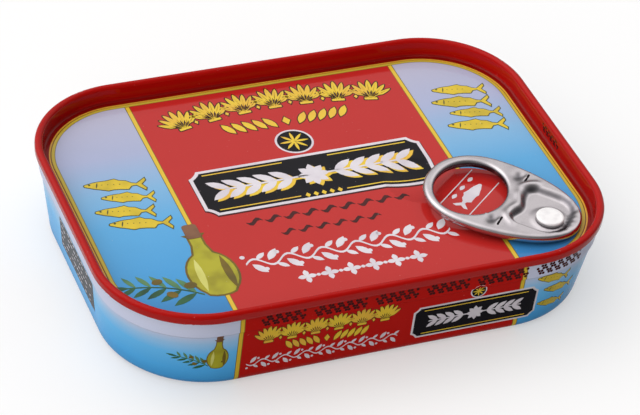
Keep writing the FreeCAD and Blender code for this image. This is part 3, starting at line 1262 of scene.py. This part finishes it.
def lid_fish():
    """Four fish on each blue field; all of them swim to the left."""
    left = ((-39.6, 9.9, 1.0), (-38.2, 5.4, 0.86), (-40.2, 1.2, 0.95), (-38.4, -3.2, 1.0))
    right = ((39.6, 22.4, 0.92), (38.4, 18.2, 1.0), (40.0, 13.9, 0.88), (38.6, 9.8, 1.0))
    school("lid", 14.6, 0.22, 169.0, left + right, print_on_lid, LID)


def cruet(inks):
    """Round-bellied oil cruet: glass, oil, light, shade and stopper, 25 mm tall."""
    glass = blank("cruet_glass", 28, 10.4, 14.0)
    pull(glass, lambda x, y: y < -5.6, grow=(1.25, 1.0))
    sprout(glass, lambda x, y: y > 6.2, (0.0, 2.4), (0.72, 0.2), (0.0, 9.0))
    sprout(glass, lambda x, y: y > 8.6, (0.0, 2.6))
    sprout(glass, lambda x, y: y > 11.2, (0.0, 0.8), (1.5, 1.0))
    oil = shrunk(glass, 0.45)
    oil.name = "cruet_oil"
    light = moved(leaf(10.0, 1.5), -2.6, -5.0, math.radians(88), name="cruet_light")
    shade = moved(leaf(10.5, 1.6), 3.2, -5.6, math.radians(92), name="cruet_shade")
    stopper = moved(slab("cruet_stopper", 3.0, 4.4, 0.7, 4), 0.0, 13.2)
    return [(glass, inks.oil_shade), (oil, inks.oil), (light, inks.oil_light),
            (shade, inks.oil_shade), (stopper, inks.cork)]


def olive_branch(inks):
    """Curved twig, 15 mm long, with paired leaves and three olives."""
    twig = slab("twig", 15.0, 0.4)
    slice_up(twig, 1.5)
    for point in twig.data.vertices:
        point.co.y += (point.co.x / MM) ** 2 * 0.02 * MM
    blade = leaf(6.0, 1.6)
    dark = []
    pale = []
    for i in range(5):
        x = -6.0 + 2.9 * i
        dark.append((x, 0.02 * x * x, math.radians(48), 1.0 - 0.07 * i))
        pale.append((x, 0.02 * x * x, math.radians(-40), 0.95 - 0.07 * i))
    dark.append((6.8, 0.9, math.radians(14), 0.8))
    leaves = join_as("branch_leaves", [twig, scatter("dark_leaves", blade, dark)])
    pale = scatter("branch_pale_leaves", leaf(6.0, 1.5), pale)
    olives = scatter("branch_olives", blank("olive", 14, 2.6, 1.9),
                     [(-4.6, -1.3, 0.4, 1.0), (-1.4, 1.9, -0.3, 0.9), (1.8, -1.5, 0.6, 0.85)])
    return [(leaves, inks.leaf), (pale, inks.leaf_light), (olives, inks.oil_shade)]


def print_set(name, parts, put, x, y, turn=0.0, size=1.0, **where):
    """Lay the parts of a picture one over another."""
    for layer, (piece, finish) in enumerate(parts, 1):
        piece = moved(piece, x, y, turn, size, name + "_" + piece.name)
        put(piece, finish, layer=layer, **where)


lid_title()
lid_plate()
roundel("lid", 40, (8.0, 7.1, 6.2), LID_ROUNDEL, print_on_lid, LID)
lid_small_rows()
ring_print()
lid_fish()
print_set("lid", olive_branch(LID), print_on_lid, -39.5, -23.4, math.radians(158))
print_set("lid", cruet(LID), print_on_lid, -29.4, -21.6)


# ---------------------------------------------------------------- the wall's label

def wall_title(side):
    row = moved(shell_row(size=4.6, pitch=4.75, count=6, height=0.0), -11.4, 11.9,
                name="wall_shell_row")
    print_gold(row, 0.13, print_on_wall, WALL, side=side)
    row = moved(wheat_row(length=18.0, height=2.8), -11.2, 8.0, name="wall_wheat_row")
    print_gold(row, 0.1, print_on_wall, WALL, side=side)
    row = moved(vine(length=31.0, size=3.1, waves=7), -11.8, 4.8, name="wall_vine")
    print_on_wall(row, WALL.pale, side)


def wall_plate(side):
    rim, middle = plate_layers(26.4, 8.2, "wall_plate_rim")
    print_on_wall(moved(rim, *WALL_PLATE), WALL.pale, side)
    print_on_wall(moved(middle, *WALL_PLATE, name="wall_plate"), WALL.dark, side, 2)
    lines = [moved(bar(22.0, 0.2), WALL_PLATE[0], y) for y in (10.2, 4.1)]
    print_on_wall(join_as("wall_plate_lines", lines), WALL.gold, side, 3)
    row = moved(laurel(21.5, 3.9), *WALL_PLATE, name="wall_laurel")
    print_on_wall(row, WALL.pale, side, 3)
    roundel("wall", 28, (3.4, 2.9, 2.6), WALL_ROUNDEL, print_on_wall, WALL, side=side)


def wall_fish(side, heading, spots):
    school("wall", 8.0, 0.14, heading, spots, print_on_wall, WALL, side=side)


def small_print(side, x, y, length, height):
    """Dark block with rows of short pale dashes that stand for small print."""
    block = moved(slab("small_print_block", length, height), x, y)
    print_on_wall(block, WALL.dark, side)
    dice = random.Random(7)
    dashes = []
    row = y - height / 2 + 0.8
    while row < y + height / 2 - 0.4:
        spot = x - length / 2 + 0.7
        while spot < x + length / 2 - 2.2:
            run = dice.uniform(0.4, 1.5)
            dashes.append(moved(bar(run, 0.26), spot + run / 2, row))
            spot += run + dice.choice((0.5, 0.7, 2.0))
        row += 1.45
    print_on_wall(join_as("small_print", dashes), WALL.pale, side, 2, pitch=0.0)


def dot_strip(columns, rows, x, y, pitch, stagger):
    """Two dots of every three in one plain repeating pattern, each second row moved along."""
    spots = []
    for column in range(columns):
        for row in range(rows):
            if (column + row) % 3:
                along = x + pitch[0] * column + stagger * (row % 2)
                spots.append((along, y + pitch[1] * row, 0.0, 1.0))
    return spots


def code_marks(side):
    """Stamped code in the neck: strips of dots, longer and shorter ones mixed."""
    dice = random.Random(11)
    pitch = (0.62, 0.6)
    gap = 1.9
    spots = []
    dot = bead(0.68, 6)
    x = -25.0
    while x < 32.0:
        columns = dice.choice((11, 14, 17))
        spots += dot_strip(columns, 4, x, 14.95, pitch, 0.31)
        x += columns * pitch[0] + gap
    print_on_wall(scatter("code_marks", dot, spots), WALL.mark, side, pitch=0.0)


def rim_code():
    """Three rows of stamped dots on the inside of the rim, on the ring-pull's side."""
    spots = dot_strip(14, 3, -3.6, 17.1, (0.55, 0.55), 0.27)
    code = scatter("rim_code", bead(0.6, 6), spots)
    code.rotation_euler = (math.pi / 2, 0.0, LEFT)
    code.location = (40.0 * MM, 0.0, 0.0)
    fix_place(code)
    press_on(code, "lid", "X", True, 1)
    hand_over(code, LID.mark)


rim_code()
for side in (FRONT, BACK):
    wall_title(side)
    wall_plate(side)
    print_set("wall", olive_branch(WALL), print_on_wall, -37.6, 7.4, math.radians(158), 0.42,
              side=side)
    print_set("wall", cruet(WALL), print_on_wall, -33.2, 7.8, 0.0, 0.41, side=side)
    wall_fish(side, 168.0, ((35.8, 12.4, 1.15), (37.6, 8.9, 1.1), (36.4, 5.3, 1.0)))
wall_fish(RIGHT, 170.0, ((-7.0, 10.4, 1.2), (6.0, 8.6, 1.2), (-4.0, 5.0, 1.2)))
small_print(LEFT, 3.0, 8.6, 22.0, 7.0)
code_marks(FRONT)


# ---------------------------------------------------------------- camera, floor, light

def place_camera():
    """Long lens, high on the left of the front, rolled a little."""
    data = bpy.data.cameras.new("Camera")
    data.sensor_width = 36.0
    data.lens = 162.52
    data.clip_start = 0.05
    data.clip_end = 20.0
    camera = bpy.data.objects.new("Camera", data)
    bpy.context.collection.objects.link(camera)
    turn = math.radians(-23.69)
    rise = math.radians(37.46)
    back = Vector((math.sin(turn) * math.cos(rise), -math.cos(turn) * math.cos(rise),
                   math.sin(rise)))
    target = Vector((0.77, -0.64, 10.0)) * MM
    away = 580.03
    roll = math.radians(5.04)
    camera.location = target + back * away * MM
    level = (-back).to_track_quat("-Z", "Y")
    camera.rotation_mode = "QUATERNION"
    camera.rotation_quaternion = Quaternion(back, roll) @ level
    bpy.context.scene.camera = camera


def floor_finish():
    """White floor for the eye and for gloss, with a light shadow; duller in what it gives back."""
    finish, tree, shader = new_finish("Pale floor")
    rays = tree.nodes.new("ShaderNodeLightPath")
    seen = maths(tree, "MAXIMUM", rays.outputs["Is Camera Ray"], rays.outputs["Is Glossy Ray"])
    seen = maths(tree, "MAXIMUM", seen, rays.outputs["Is Transmission Ray"])
    colour = over(tree, seen, (0.3, 0.3, 0.3, 1.0), (0.55, 0.55, 0.55, 1.0))
    feed(tree, shader.inputs["Base Color"], colour)
    shader.inputs["Emission Color"].default_value = (1.0, 1.0, 1.0, 1.0)
    feed(tree, shader.inputs["Emission Strength"], maths(tree, "MULTIPLY", seen, 0.43))
    shader.inputs["Roughness"].default_value = 0.9
    shader.inputs["Specular IOR Level"].default_value = 0.0
    return finish


def make_floor():
    bpy.ops.object.select_all(action="DESELECT")
    bpy.ops.mesh.primitive_plane_add(size=6.0, location=(0, 0, -0.02 * MM))
    floor = bpy.context.object
    floor.name = "floor"
    floor.data.materials.append(floor_finish())


def direction_glow(tree, sky, toward, power, strength):
    """A soft pool of light in the sky round one direction."""
    unit = Vector(toward).normalized()
    dot = tree.nodes.new("ShaderNodeVectorMath")
    dot.operation = "DOT_PRODUCT"
    tree.links.new(sky, dot.inputs[0])
    dot.inputs[1].default_value = unit
    facing = maths(tree, "MAXIMUM", dot.outputs["Value"], 0.0)
    return maths(tree, "MULTIPLY", maths(tree, "POWER", facing, power), strength)


BARE_SKY = 0.15
GLOWS = (((-0.42, 0.45, 0.78), 4.0, 2.2),     # main light, back left
         ((0.72, 0.38, 0.62), 9.0, 1.05))     # smaller one, right
FILL = ((-0.85, -0.8, 0.4), 6.0, 2.25)        # low at the front left, dim in gloss


def light_room():
    """Soft light, most of it from the back left, least from the front right."""
    world = bpy.data.worlds.new("Studio")
    bpy.context.scene.world = world
    world.use_nodes = True
    tree = world.node_tree
    background = tree.nodes["Background"]
    sky = tree.nodes.new("ShaderNodeTexCoord").outputs["Generated"]
    level = BARE_SKY
    for toward, power, strength in GLOWS:
        glow = direction_glow(tree, sky, toward, power, strength)
        level = maths(tree, "ADD", glow, level)
    rays = tree.nodes.new("ShaderNodeLightPath")
    share = maths(tree, "MULTIPLY_ADD", rays.outputs["Is Glossy Ray"], -0.9, 1.0)
    fill = maths(tree, "MULTIPLY", direction_glow(tree, sky, *FILL), share)
    level = maths(tree, "ADD", fill, level)
    level = maths(tree, "MAXIMUM", level, rays.outputs["Is Camera Ray"])
    feed(tree, background.inputs["Strength"], level)
    background.inputs["Color"].default_value = (1.0, 0.99, 0.985, 1.0)


place_camera()
make_floor()
light_room()
bpy.context.scene.view_settings.view_transform = "Standard"
